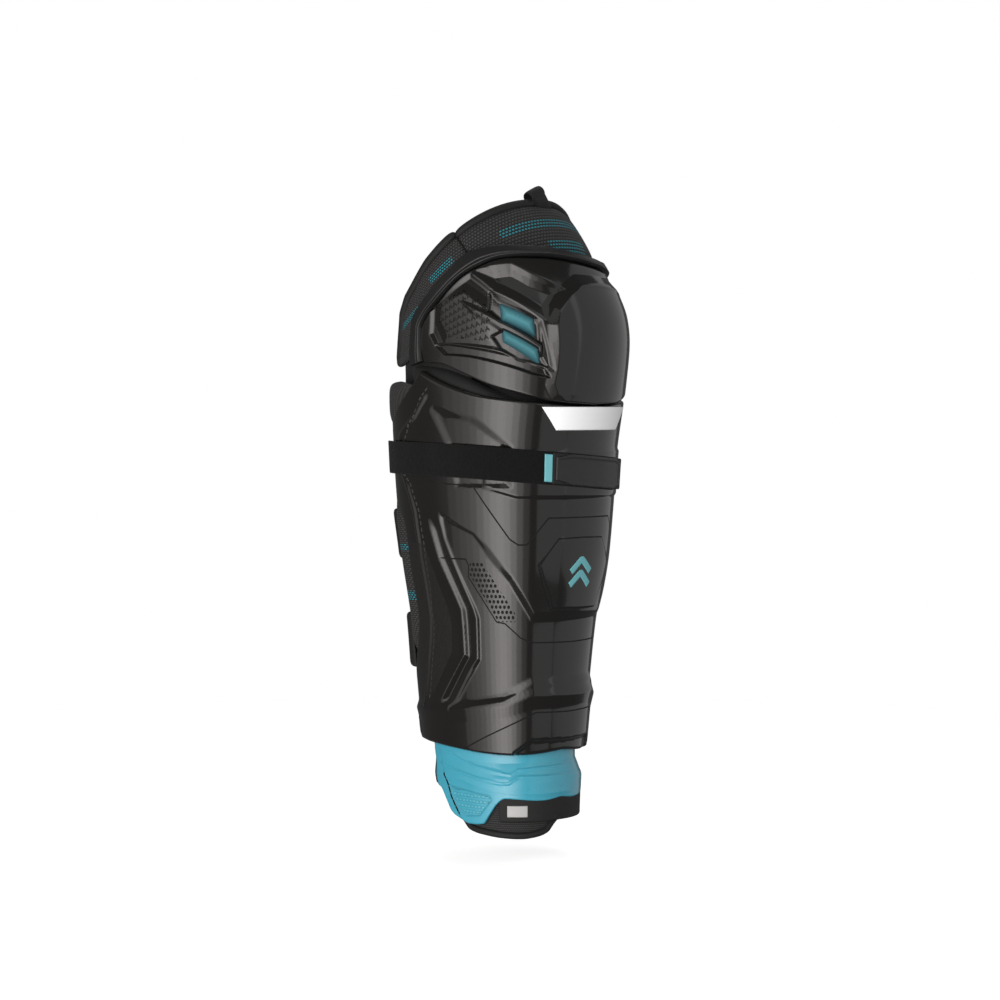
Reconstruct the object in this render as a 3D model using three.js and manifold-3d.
// Ice hockey shin guard for the right leg, in millimetres.
// +Z runs up the shin, -Y is the front of the leg and -X its outer side.
// The origin lies on the leg's centre line, level with the bottom hem.
//
// Every piece is a sheet wrapped round one leg form. A place on the form is an angle round the
// leg (0 at the front, positive towards the outer side), a distance up the leg's centre line,
// and an offset outwards from the shin shell's outer face.
import * as THREE from "three";
import { ParametricGeometry } from "three/addons/geometries/ParametricGeometry.js";
import { mergeVertices } from "three/addons/utils/BufferGeometryUtils.js";
import Module from "manifold-3d";

// ---------------------------------------------------------------- leg form

const KNEE_BEND_START = 285; // height where the centre line starts to lean back
const KNEE_BEND_RADIUS = 100; // radius of that lean
const FRONT_SQUARENESS = 2.2; // superellipse power of the front half of a section
const BACK_SQUARENESS = 3.0; // and of the back half, which is squarer

// Sections of the form: height, half width, depth in front and depth behind the centre line.
const SECTIONS = [
  [0, 40, 40, 52],
  [35, 41, 41, 56],
  [55, 43, 43, 62],
  [100, 47, 47, 66],
  [140, 51, 51, 68],
  [185, 58, 58, 72],
  [215, 60.5, 60.5, 76],
  [250, 62.5, 63, 78],
  [280, 65, 68, 78],
  [310, 66, 74, 74],
  [340, 66, 78, 68],
  [380, 64, 77, 64],
  [430, 60, 70, 60],
];

// A smooth curve through [x, y] points that never overshoots them; flat beyond both ends.
function curve(points) {
  const x = points.map((p) => p[0]);
  const y = points.map((p) => p[1]);
  const last = x.length - 1;
  const width = x.slice(1).map((value, i) => value - x[i]);
  const slope = width.map((w, i) => (y[i + 1] - y[i]) / w);
  const tangent = y.map((_, i) => {
    if (i === 0) return slope[0];
    if (i === last) return slope[last - 1];
    const before = slope[i - 1];
    const after = slope[i];
    if (before * after <= 0) return 0;
    return (width[i - 1] + width[i]) / (width[i - 1] / after + width[i] / before);
  });
  return (value) => {
    const v = THREE.MathUtils.clamp(value, x[0], x[last]);
    let i = 0;
    while (i < last - 1 && v > x[i + 1]) i += 1;
    const t = (v - x[i]) / width[i];
    const rise = t * t * (3 - 2 * t);
    const bend = width[i] * t * (1 - t) * ((1 - t) * tangent[i] - t * tangent[i + 1]);
    return y[i] + (y[i + 1] - y[i]) * rise + bend;
  };
}

const halfWidth = curve(SECTIONS.map((s) => [s[0], s[1]]));
const frontDepth = curve(SECTIONS.map((s) => [s[0], s[2]]));
const backDepth = curve(SECTIONS.map((s) => [s[0], s[3]]));

// Distance from the centre line to the form's surface at an angle and a height.
function formRadius(angle, height) {
  const side = Math.abs(Math.sin(angle)) / halfWidth(height);
  const ahead = Math.cos(angle);
  const power = ahead >= 0 ? FRONT_SQUARENESS : BACK_SQUARENESS;
  const depth = ahead >= 0 ? frontDepth(height) : backDepth(height);
  return Math.pow(Math.pow(side, power) + Math.pow(Math.abs(ahead) / depth, power), -1 / power);
}

// The point at an angle in degrees, a height along the centre line and a radius from it.
function atRadius(degrees, height, radius) {
  const angle = THREE.MathUtils.degToRad(degrees);
  const lean = Math.max(height - KNEE_BEND_START, 0) / KNEE_BEND_RADIUS;
  const forward = radius * Math.cos(angle);
  return new THREE.Vector3(
    -radius * Math.sin(angle),
    KNEE_BEND_RADIUS * (1 - Math.cos(lean)) - forward * Math.cos(lean),
    Math.min(height, KNEE_BEND_START) + (KNEE_BEND_RADIUS + forward) * Math.sin(lean),
  );
}

// The point at an offset from the form's surface.
function onForm(degrees, height, offset) {
  const radius = formRadius(THREE.MathUtils.degToRad(degrees), height) + offset;
  return atRadius(degrees, height, radius);
}

// ---------------------------------------------------------------- solids

// A closed solid between an outer and an inner face. Both are functions of u, across, and v, up,
// from 0 to 1. The loop round a row runs along the outer face and back along the inner one, and
// the rows are closed at both ends along the sheet's middle.
function thickSheet(outer, inner, columns, rows) {
  const slices = 2 * columns + 2;
  const stacks = rows + 2;
  const face = (u, v, target) => {
    const step = (slices - Math.round(u * slices)) % slices; // counted down, so that faces point out
    const row = Math.round(v * stacks);
    const onOuter = step <= columns;
    const across = (onOuter ? step : 2 * columns + 1 - step) / columns;
    const up = THREE.MathUtils.clamp((row - 1) / rows, 0, 1);
    if (row === 0 || row === stacks) {
      target.lerpVectors(outer(across, up), inner(across, up), 0.5);
      return;
    }
    target.copy(onOuter ? outer(across, up) : inner(across, up));
  };
  return new ParametricGeometry(face, slices, stacks);
}

const COLUMN_DEGREES = 10; // columns lie on multiples of this, so that nested sheets stay parallel

// The angles of a sheet's columns, from its first angle to its last.
function columnAngles(from, to) {
  const angles = [from];
  const first = Math.ceil((from + 1) / COLUMN_DEGREES);
  for (let i = first; i * COLUMN_DEGREES < to - 1; i += 1) angles.push(i * COLUMN_DEGREES);
  angles.push(to);
  return angles;
}

const asFunction = (value) => (typeof value === "function" ? value : () => value);

// A sheet of the form from one angle to another. bottom and top are heights, or functions of
// the angle; outside and inside are offsets, or functions of the angle and the height. The rows
// are spaced evenly, or pass through the heights in levels.
function wrap({ from, to, bottom, top, outside, inside, rows, levels }) {
  const angles = columnAngles(from, to);
  const rowCount = levels ? levels.length + 1 : rows;
  const heightAt = (degrees, up) => {
    const row = Math.round(up * rowCount);
    if (levels && row > 0 && row < rowCount) return levels[row - 1];
    return THREE.MathUtils.lerp(asFunction(bottom)(degrees), asFunction(top)(degrees), up);
  };
  const face = (offset) => (across, up) => {
    const degrees = angles[Math.round(across * (angles.length - 1))];
    const height = heightAt(degrees, up);
    return onForm(degrees, height, asFunction(offset)(degrees, height));
  };
  return thickSheet(face(outside), face(inside), angles.length - 1, rowCount);
}

// A block through the form over a four-cornered patch, given as [degrees, height] of its bottom
// left, bottom right, top right and top left corner, with degrees growing to the right.
function plug(corners, outside, inside) {
  const [bottomLeft, bottomRight, topRight, topLeft] = corners;
  const face = (offset) => (across, up) => {
    const left = up < 0.5 ? bottomLeft : topLeft;
    const right = up < 0.5 ? bottomRight : topRight;
    const [degrees, height] = across < 0.5 ? left : right;
    return onForm(degrees, height, offset);
  };
  return thickSheet(face(outside), face(inside), 1, 1);
}

const wasm = await Module();
wasm.setup();

const WELD = 1e-3; // distance under which two vertices are one

// A closed geometry as a solid that manifold-3d can cut.
function solid(geometry) {
  const bare = geometry.clone();
  bare.deleteAttribute("normal");
  bare.deleteAttribute("uv");
  const welded = mergeVertices(bare, WELD);
  const mesh = new wasm.Mesh({
    numProp: 3,
    vertProperties: welded.attributes.position.array,
    triVerts: new Uint32Array(welded.index.array),
  });
  return new wasm.Manifold(mesh);
}

// The geometry with every one of the cutters taken out of it.
function cut(geometry, cutters) {
  const rest = cutters.reduce((kept, cutter) => kept.subtract(solid(cutter)), solid(geometry));
  const mesh = rest.getMesh();
  return new THREE.BufferGeometry()
    .setAttribute("position", new THREE.BufferAttribute(mesh.vertProperties, 3))
    .setIndex(new THREE.BufferAttribute(mesh.triVerts, 1));
}

// ---------------------------------------------------------------- finishes

const finish = (color, roughness, metalness = 0) => ({ color, roughness, metalness });
const GLOSS_BLACK = finish(0x0c0c0d, 0.12);
const SATIN_BLACK = finish(0x1b1b1c, 0.45);
const MESH_FABRIC = finish(0x202123, 0.9);
const BINDING = finish(0x101011, 0.8);
const FOAM = finish(0x2c2d30, 0.95);
const TEAL_FABRIC = finish(0x3f9db0, 0.85);
const CYAN_PLASTIC = finish(0x4fb6cf, 0.3);
const WEBBING = finish(0x121213, 0.95);
const TEAL_TRIM = finish(0x7cc6cb, 0.6);
const LABEL_WHITE = finish(0xe4e2e4, 0.35);

const guard = new THREE.Group();

function add(name, geometry, look) {
  const mesh = new THREE.Mesh(geometry, new THREE.MeshStandardMaterial(look));
  mesh.name = name;
  guard.add(mesh);
}

// ---------------------------------------------------------------- shin shell

const SHELL_THICKNESS = 3;
const SHELL_COLUMNS = 36;
const SHELL_ROWS = 12;

// Edges of the shell over its share across: 0 at the front centre, 1 at either side edge.
const shellTop = curve([
  [0, 277.5],
  [0.26, 280.5],
  [0.53, 285],
  [0.77, 292.5],
  [0.87, 297],
  [1, 304],
]);
const shellBottom = curve([
  [0, 61.5],
  [0.3, 59.5],
  [0.65, 61],
  [1, 64],
]);

// Angle of the shell's side edge over the height. It narrows at the top corner and behind the calf.
const shellSide = curve([
  [61, 141],
  [70, 147],
  [103, 147],
  [128, 136],
  [145, 131],
  [190, 130],
  [206, 132],
  [218, 138],
  [232, 141],
  [262, 140],
  [284, 122],
  [304, 106],
]);

function shellFace(offset) {
  return (across, up) => {
    const share = 2 * across - 1;
    const edge = Math.abs(share);
    const height = THREE.MathUtils.lerp(shellBottom(edge), shellTop(edge), up);
    return onForm(share * shellSide(height), height, offset);
  };
}

const shellSheet = thickSheet(shellFace(0), shellFace(-SHELL_THICKNESS), SHELL_COLUMNS, SHELL_ROWS);
add("shin_shell", shellSheet, GLOSS_BLACK);

// Angle to the shell's share across, near its top edge.
const shellTopAt = (degrees) => shellTop(Math.abs(degrees) / shellSide(285));

// ---------------------------------------------------------------- badge and emblem on the shell

const TRIM_GAP = 0.5; // air left under a piece that lies on the shell
const BADGE = { halfTop: 32, halfBottom: 23.5, bottom: 262.5, top: 276.5, thickness: 0.9 };
const EMBLEM = { half: 8.5, bottom: 165, top: 188, thickness: 0.6 };

function badgeFace(offset) {
  return (across, up) => {
    const half = THREE.MathUtils.lerp(BADGE.halfBottom, BADGE.halfTop, up);
    return onForm((2 * across - 1) * half, THREE.MathUtils.lerp(BADGE.bottom, BADGE.top, up), offset);
  };
}
add("front_badge", thickSheet(badgeFace(TRIM_GAP + BADGE.thickness), badgeFace(TRIM_GAP), 8, 2), LABEL_WHITE);

add(
  "front_emblem",
  wrap({
    from: -EMBLEM.half,
    to: EMBLEM.half,
    bottom: EMBLEM.bottom,
    top: EMBLEM.top,
    outside: TRIM_GAP + EMBLEM.thickness,
    inside: TRIM_GAP,
    rows: 2,
  }),
  TEAL_TRIM,
);

// ---------------------------------------------------------------- shin foam and liner

const SHIN_FOAM = { outside: -3.7, inside: -9.5, bottom: 122, side: 98 };
const SHIN_LINER = { outside: -10.2, inside: -14.2, bottom: 119, side: 127.5 };

add(
  "shin_foam",
  wrap({
    from: -SHIN_FOAM.side,
    to: SHIN_FOAM.side,
    bottom: SHIN_FOAM.bottom,
    top: (degrees) => shellTopAt(degrees) - 12,
    outside: SHIN_FOAM.outside,
    inside: SHIN_FOAM.inside,
    rows: 7,
  }),
  FOAM,
);

add(
  "shin_liner",
  wrap({
    from: -SHIN_LINER.side,
    to: SHIN_LINER.side,
    bottom: SHIN_LINER.bottom,
    top: (degrees) => shellTopAt(degrees) - 8,
    outside: SHIN_LINER.outside,
    inside: SHIN_LINER.inside,
    rows: 8,
  }),
  MESH_FABRIC,
);

// The rolled edge of the liner stands above the shell at the sides and tucks under the knee cap in front.
const lipTop = curve([
  [0, 276.5],
  [30, 279.5],
  [43, 282.5],
  [59, 287.4],
  [76, 295],
  [90, 301],
  [105, 307],
  [120, 312],
]);
add(
  "liner_top_binding",
  wrap({
    from: -120,
    to: 120,
    bottom: (degrees) => shellTopAt(degrees) - 7.2,
    top: (degrees) => lipTop(Math.abs(degrees)),
    outside: -3.8,
    inside: -13.6,
    rows: 2,
  }),
  BINDING,
);

// ---------------------------------------------------------------- knee cap

const KNEE_CAP = { side: 104, outside: 0, inside: -3 };
const KNEE_TURN = -17; // the knee cap faces this angle, a little towards the inner side

// The cap is drawn on its outer half. The inner half is the same drawing, mirrored at the turn and
// squeezed into what is left beyond it. drawnAngle finds a place on the drawing and innerAngle
// brings it back to the inner half.
const INNER_SQUEEZE = (KNEE_CAP.side + KNEE_TURN) / (KNEE_CAP.side - KNEE_TURN);
const innerAngle = (drawn) => KNEE_TURN - (drawn - KNEE_TURN) * INNER_SQUEEZE;
function drawnAngle(degrees) {
  return degrees < KNEE_TURN ? KNEE_TURN + (KNEE_TURN - degrees) / INNER_SQUEEZE : degrees;
}

// Edges of the knee cap, of its rim and of its pad, over the angle from the front.
const capBottom = curve([
  [0, 278.9],
  [26, 281],
  [38, 284.2],
  [59, 289.4],
  [76, 297],
  [90, 304.6],
  [104, 309.5],
]);
const capTop = curve([
  [-17, 332.6],
  [-10, 332.9],
  [0, 334],
  [23, 338],
  [46, 343],
  [57, 343.6],
  [80, 340.4],
  [93, 337],
  [100, 331],
  [104, 318],
]);
const rimTop = curve([
  [-17, 335.2],
  [-10, 335.5],
  [0, 336.6],
  [22, 341.2],
  [46, 350],
  [53, 351.6],
  [66, 349],
  [86, 347],
  [101, 343.5],
  [108, 334],
  [112.5, 322],
]);
const padTop = curve([
  [0, 361.5],
  [75, 363.5],
  [101, 361],
  [110, 357],
  [122, 340],
  [130, 330],
  [134, 324],
]);

// Two vent windows on each side, given by their lower and upper edges from front to back.
const VENTS = [
  { lower: [[33.5, 309.2], [47.6, 317.6]], upper: [[33, 314.6], [46.4, 323.2]] },
  { lower: [[33, 298.2], [49, 308.6]], upper: [[32.6, 303], [48.6, 313]] },
];
const VENT_CUT = { outside: 6, inside: -8 };
const flip = ([degrees, height]) => [innerAngle(degrees), height];
const ventCutters = VENTS.flatMap(({ lower, upper }) => [
  plug([lower[0], lower[1], upper[1], upper[0]], VENT_CUT.outside, VENT_CUT.inside),
  plug([lower[1], lower[0], upper[0], upper[1]].map(flip), VENT_CUT.outside, VENT_CUT.inside),
]);

add(
  "knee_cap",
  cut(
    wrap({
      from: -KNEE_CAP.side,
      to: KNEE_CAP.side,
      bottom: (degrees) => capBottom(Math.abs(degrees)),
      top: (degrees) => capTop(drawnAngle(degrees)),
      outside: KNEE_CAP.outside,
      inside: KNEE_CAP.inside,
      rows: 7,
    }),
    ventCutters,
  ),
  GLOSS_BLACK,
);

// The satin rim runs round the cap's top and sides as one band.
const RIM = { outside: 0.2, inside: -2.8, gap: 1.5, steps: 36 };
const RIM_FOOT = 311; // height where the rim ends at either side
const RIM_CORNER = 101; // angle where it turns down the side

// Inner and outer edge of the rim, over its share from one foot to the other.
function rimEdge(share, outerEdge) {
  const side = Math.sign(share);
  const part = Math.abs(share);
  const turn = 0.72;
  const drawn = outerEdge ? rimTop : (degrees) => capTop(degrees) + RIM.gap;
  const top = (degrees) => drawn(drawnAngle(side * degrees));
  const corner = outerEdge ? RIM_CORNER + 3 : RIM_CORNER - 4;
  if (part <= turn) {
    const degrees = (part / turn) * corner;
    return [side * degrees, top(degrees)];
  }
  const down = (part - turn) / (1 - turn);
  const outermost = outerEdge ? 112.5 : KNEE_CAP.side + 0.7;
  const degrees = corner + (outermost - corner) * Math.min(1, down * 2.2);
  return [side * degrees, THREE.MathUtils.lerp(top(corner), RIM_FOOT, down)];
}
function rimFace(offset) {
  return (across, up) => {
    const [degrees, height] = rimEdge(2 * across - 1, up > 0.5);
    return onForm(degrees, height, offset);
  };
}
add("knee_rim", thickSheet(rimFace(RIM.outside), rimFace(RIM.inside), RIM.steps, 1), SATIN_BLACK);

// ---------------------------------------------------------------- knee padding

const VENT_INSERT = { from: 28, to: 54, bottom: 294, top: 327, outside: -3.7, inside: -5.4 };
const KNEE_PAD = { side: 90, outside: -6.2, inside: -14 };
const KNEE_WING = { outside: -3.6, inside: -8 };
const SPLIT_DEGREES = 52.5; // the thigh flap fills the pad's top between these angles
const SPLIT_HEIGHT = 330;
const KNEE_CUP = { outside: -14.7, inside: -20, bottom: 303, top: 329, side: 67.5 };

for (const [name, side] of [
  ["vent_insert_outer", 1],
  ["vent_insert_inner", -1],
]) {
  add(
    name,
    wrap({
      from: side > 0 ? VENT_INSERT.from : innerAngle(VENT_INSERT.to),
      to: side > 0 ? VENT_INSERT.to : innerAngle(VENT_INSERT.from),
      bottom: VENT_INSERT.bottom,
      top: VENT_INSERT.top,
      outside: VENT_INSERT.outside,
      inside: VENT_INSERT.inside,
      rows: 3,
    }),
    TEAL_FABRIC,
  );
}

// Behind the pivot the pad drops as the knee flexes, so its lower edge stays above the liner's lip.
const padBottom = curve([
  [0, 280.5],
  [59, 291],
  [90, 306],
  [105, 313],
  [120, 322],
  [134, 322.5],
]);

add(
  "knee_pad",
  wrap({
    from: -KNEE_PAD.side,
    to: KNEE_PAD.side,
    bottom: (degrees) => padBottom(Math.abs(degrees)),
    top: SPLIT_HEIGHT,
    outside: KNEE_PAD.outside,
    inside: KNEE_PAD.inside,
    rows: 5,
  }),
  MESH_FABRIC,
);

// A wing stands on the pad's top edge and, behind the pad, reaches down to its lower edge.
function wingBottom(degrees) {
  const angle = Math.abs(degrees);
  return angle <= KNEE_PAD.side ? SPLIT_HEIGHT + 0.8 : padBottom(angle);
}

for (const [name, side] of [
  ["knee_wing_outer", 1],
  ["knee_wing_inner", -1],
]) {
  add(
    name,
    wrap({
      from: side > 0 ? SPLIT_DEGREES : -132,
      to: side > 0 ? 132 : -SPLIT_DEGREES,
      bottom: wingBottom,
      top: (degrees) => padTop(Math.abs(degrees)),
      outside: KNEE_WING.outside,
      inside: KNEE_WING.inside,
      rows: 4,
    }),
    MESH_FABRIC,
  );
}

add(
  "knee_cup_foam",
  wrap({
    from: -KNEE_CUP.side,
    to: KNEE_CUP.side,
    bottom: KNEE_CUP.bottom,
    top: KNEE_CUP.top,
    outside: KNEE_CUP.outside,
    inside: KNEE_CUP.inside,
    rows: 3,
  }),
  FOAM,
);

// Stretch fabric that joins the shin liner to the knee padding, inside both.
add(
  "knee_gusset",
  wrap({ from: -82.5, to: 82.5, bottom: 258, top: 297, outside: -15.6, inside: -17.2, rows: 3 }),
  BINDING,
);

// ---------------------------------------------------------------- thigh flap and pull loop

const THIGH_FLAP = {
  foot: 336,
  footRise: 9,
  shoulder: 46,
  side: 58.5,
  outside: -3.6,
  tuck: -9,
  inside: -12.5,
};
const LOOP = { width: 15, height: 13, depth: 9, strap: 1.6, lean: 0.35, gap: 0.6 };

// The flap's sides are thinner and tuck in behind the knee wings.
add(
  "thigh_flap",
  wrap({
    from: -THIGH_FLAP.side,
    to: THIGH_FLAP.side,
    bottom: (degrees) => THIGH_FLAP.foot + THIGH_FLAP.footRise * (degrees / THIGH_FLAP.side) ** 2,
    top: (degrees) => padTop(Math.abs(degrees)),
    outside: (degrees) => (Math.abs(degrees) < THIGH_FLAP.shoulder ? THIGH_FLAP.outside : THIGH_FLAP.tuck),
    inside: THIGH_FLAP.inside,
    rows: 4,
  }),
  MESH_FABRIC,
);

// Webbing folded over into a loop that stands on the flap's top edge and leans out to the front.
const loopProfile = new THREE.Shape();
loopProfile.moveTo(-LOOP.depth / 2, 0);
loopProfile.lineTo(-LOOP.depth / 2, LOOP.height - LOOP.depth / 2);
loopProfile.absarc(0, LOOP.height - LOOP.depth / 2, LOOP.depth / 2, Math.PI, 0, true);
loopProfile.lineTo(LOOP.depth / 2, 0);
loopProfile.lineTo(LOOP.depth / 2 - LOOP.strap, 0);
loopProfile.lineTo(LOOP.depth / 2 - LOOP.strap, LOOP.height - LOOP.depth / 2);
loopProfile.absarc(0, LOOP.height - LOOP.depth / 2, LOOP.depth / 2 - LOOP.strap, 0, Math.PI, false);
loopProfile.lineTo(LOOP.strap - LOOP.depth / 2, 0);
loopProfile.closePath();
const loopFoot = onForm(3.5, padTop(0) + LOOP.gap, (THIGH_FLAP.outside + THIGH_FLAP.inside) / 2);
const loopGeometry = new THREE.ExtrudeGeometry(loopProfile, {
  depth: LOOP.width,
  bevelEnabled: false,
  curveSegments: 6,
});
loopGeometry.translate(0, 0, -LOOP.width / 2);
loopGeometry.rotateY(Math.PI / 2);
loopGeometry.rotateX(Math.PI / 2 - LOOP.lean);
loopGeometry.translate(loopFoot.x, loopFoot.y, loopFoot.z + 1.6);
add("pull_loop", loopGeometry, WEBBING);

// ---------------------------------------------------------------- ankle extension

const NECK = 54; // above this height the extension runs straight up inside the shell
const SLIDE_TOP = 100;
const ANKLE_LEVELS = [37, 42, 48, NECK]; // heights that the rows of the extension's sheets share

// Offset of the extension's outer face from the form below the neck: a flared hem under a waist
// that is deep in front and shallow at the sides.
const WAIST = { front: -6.4, side: -3.8, from: 50, to: 100 };
const waistShare = curve([
  [36, 0],
  [42, 0.04],
  [48, 0.5],
  [NECK, 1],
]);
function ankleOffset(degrees, height) {
  const turn = THREE.MathUtils.smoothstep(Math.abs(degrees), WAIST.from, WAIST.to);
  return THREE.MathUtils.lerp(-0.6, THREE.MathUtils.lerp(WAIST.front, WAIST.side, turn), waistShare(height));
}

// The offset that keeps a sheet straight above the neck, so that it slides in the shell.
function slideOffset(extra) {
  return (degrees, height) => {
    if (height <= NECK) return ankleOffset(degrees, height) + extra;
    const angle = THREE.MathUtils.degToRad(degrees);
    return formRadius(angle, NECK) - formRadius(angle, height) + ankleOffset(degrees, NECK) + extra;
  };
}

const plateBottom = curve([
  [0, 31.5],
  [20, 30],
  [55, 31.5],
  [62, 28.5],
  [70, 21],
  [77, 15],
  [95, 14],
  [104, 16],
  [116, 20],
  [122, 27],
  [128, 34],
  [134, 36],
]);
const hemBottom = curve([
  [-134, 33],
  [-116, 22],
  [-100, 18],
  [0, 17],
  [6, 14.5],
  [14, 9.5],
  [25, 7.5],
  [40, 6.5],
  [59, 7],
  [75, 8],
  [96, 10],
  [107, 16],
  [119, 20],
  [129, 31],
  [134, 33],
]);
const ANKLE_PLATE = { side: 133.5, thickness: 2.6 };
const ANKLE_LINER = { side: 134.5, outer: -3.4, inner: -7.4, rise: 3.9 };
const ANKLE_BINDING = { side: 133, outer: -2.9, inner: -7.9, height: 3.2 };
const HEM_BAND = { side: 60, bottom: 17, outside: -1, inside: -3.2, gap: 0.8 };
const SIZE_TAG = { from: 35, to: 53, bottom: 20.5, top: 27.5, outside: 0.1, inside: -0.5 };

add(
  "ankle_plate",
  wrap({
    from: -ANKLE_PLATE.side,
    to: ANKLE_PLATE.side,
    bottom: (degrees) => plateBottom(Math.abs(degrees)),
    top: SLIDE_TOP,
    outside: slideOffset(0),
    inside: slideOffset(-ANKLE_PLATE.thickness),
    levels: ANKLE_LEVELS,
  }),
  CYAN_PLASTIC,
);

add(
  "ankle_liner",
  wrap({
    from: -ANKLE_LINER.side,
    to: ANKLE_LINER.side,
    bottom: (degrees) => hemBottom(degrees) + ANKLE_LINER.rise,
    top: SLIDE_TOP,
    outside: slideOffset(ANKLE_LINER.outer),
    inside: slideOffset(ANKLE_LINER.inner),
    levels: ANKLE_LEVELS,
  }),
  MESH_FABRIC,
);

add(
  "ankle_binding",
  wrap({
    from: -ANKLE_BINDING.side,
    to: ANKLE_BINDING.side,
    bottom: hemBottom,
    top: (degrees) => hemBottom(degrees) + ANKLE_BINDING.height,
    outside: slideOffset(ANKLE_BINDING.outer),
    inside: slideOffset(ANKLE_BINDING.inner),
    rows: 1,
  }),
  BINDING,
);

add(
  "hem_band",
  wrap({
    from: -HEM_BAND.side,
    to: HEM_BAND.side,
    bottom: HEM_BAND.bottom,
    top: (degrees) => plateBottom(Math.abs(degrees)) - HEM_BAND.gap,
    outside: HEM_BAND.outside,
    inside: HEM_BAND.inside,
    rows: 2,
  }),
  WEBBING,
);

add("size_tag", wrap({ ...SIZE_TAG, rows: 1 }), LABEL_WHITE);

// ---------------------------------------------------------------- calf wrap and its straps

const CALF_WRAP = { from: 144.5, to: 215.5, bottom: 120, top: 296, outside: -1, inside: -8 };
const CALF_BINDING = { height: 5, gap: 0.8, outside: -0.5, inside: -8.5 };
const STRAP_AIR = 0.5;
const MIDDLE_STRAP = { bottom: 180, top: 212 };
const LOWER_STRAP = { bottom: 110, top: 145 };
const CALF_STRAP = { from: 146, to: 214, end: 268, thickness: 1.8 };

add("calf_wrap_pad", wrap({ ...CALF_WRAP, rows: 8 }), MESH_FABRIC);

for (const [name, bottom] of [
  ["calf_binding_top", CALF_WRAP.top + CALF_BINDING.gap],
  ["calf_binding_bottom", CALF_WRAP.bottom - CALF_BINDING.gap - CALF_BINDING.height],
]) {
  add(
    name,
    wrap({
      from: CALF_WRAP.from,
      to: CALF_WRAP.to,
      bottom,
      top: bottom + CALF_BINDING.height,
      outside: CALF_BINDING.outside,
      inside: CALF_BINDING.inside,
      rows: 1,
    }),
    BINDING,
  );
}

for (const [name, strap] of [
  ["middle", MIDDLE_STRAP],
  ["lower", LOWER_STRAP],
]) {
  // The strap's run lies on the wrap and its end lies on the inner side of the shell.
  for (const [part, from, to] of [
    ["run", CALF_STRAP.from, CALF_STRAP.to],
    ["end", CALF_STRAP.to + 2, CALF_STRAP.end],
  ]) {
    add(
      name + "_strap_" + part,
      wrap({
        from,
        to,
        bottom: strap.bottom,
        top: strap.top,
        outside: STRAP_AIR + CALF_STRAP.thickness,
        inside: STRAP_AIR,
        rows: 2,
      }),
      WEBBING,
    );
  }
}

// ---------------------------------------------------------------- top strap

const LANDING = { from: -28, to: 139, outside: 1.6, inside: 0.5 };
const TOP_STRAP = { from: -134, to: 25.5, outside: 3.6, inside: 2.1 };
const STRIPE = { from: 26.2, to: 29.8, outside: 3.7, inside: 2.1 };
const TAB_PLATE = { from: -30, to: 22, outside: 4.6, inside: 4.0 };

// The strap dips a little towards the inner side.
const strapMiddle = curve([
  [-134, 233],
  [-30, 235.5],
  [26, 240],
  [75, 244],
  [140, 246],
]);
const strapBand = (half) => ({
  bottom: (degrees) => strapMiddle(degrees) - half,
  top: (degrees) => strapMiddle(degrees) + half,
});

add("strap_landing", wrap({ ...LANDING, ...strapBand(9.6), rows: 2 }), WEBBING);
add("top_strap_band", wrap({ ...TOP_STRAP, ...strapBand(9.2), rows: 2 }), WEBBING);
add("top_strap_stripe", wrap({ ...STRIPE, ...strapBand(7.8), rows: 1 }), TEAL_TRIM);
add("top_strap_plate", wrap({ ...TAB_PLATE, ...strapBand(7.4), rows: 1 }), SATIN_BLACK);

export default guard;
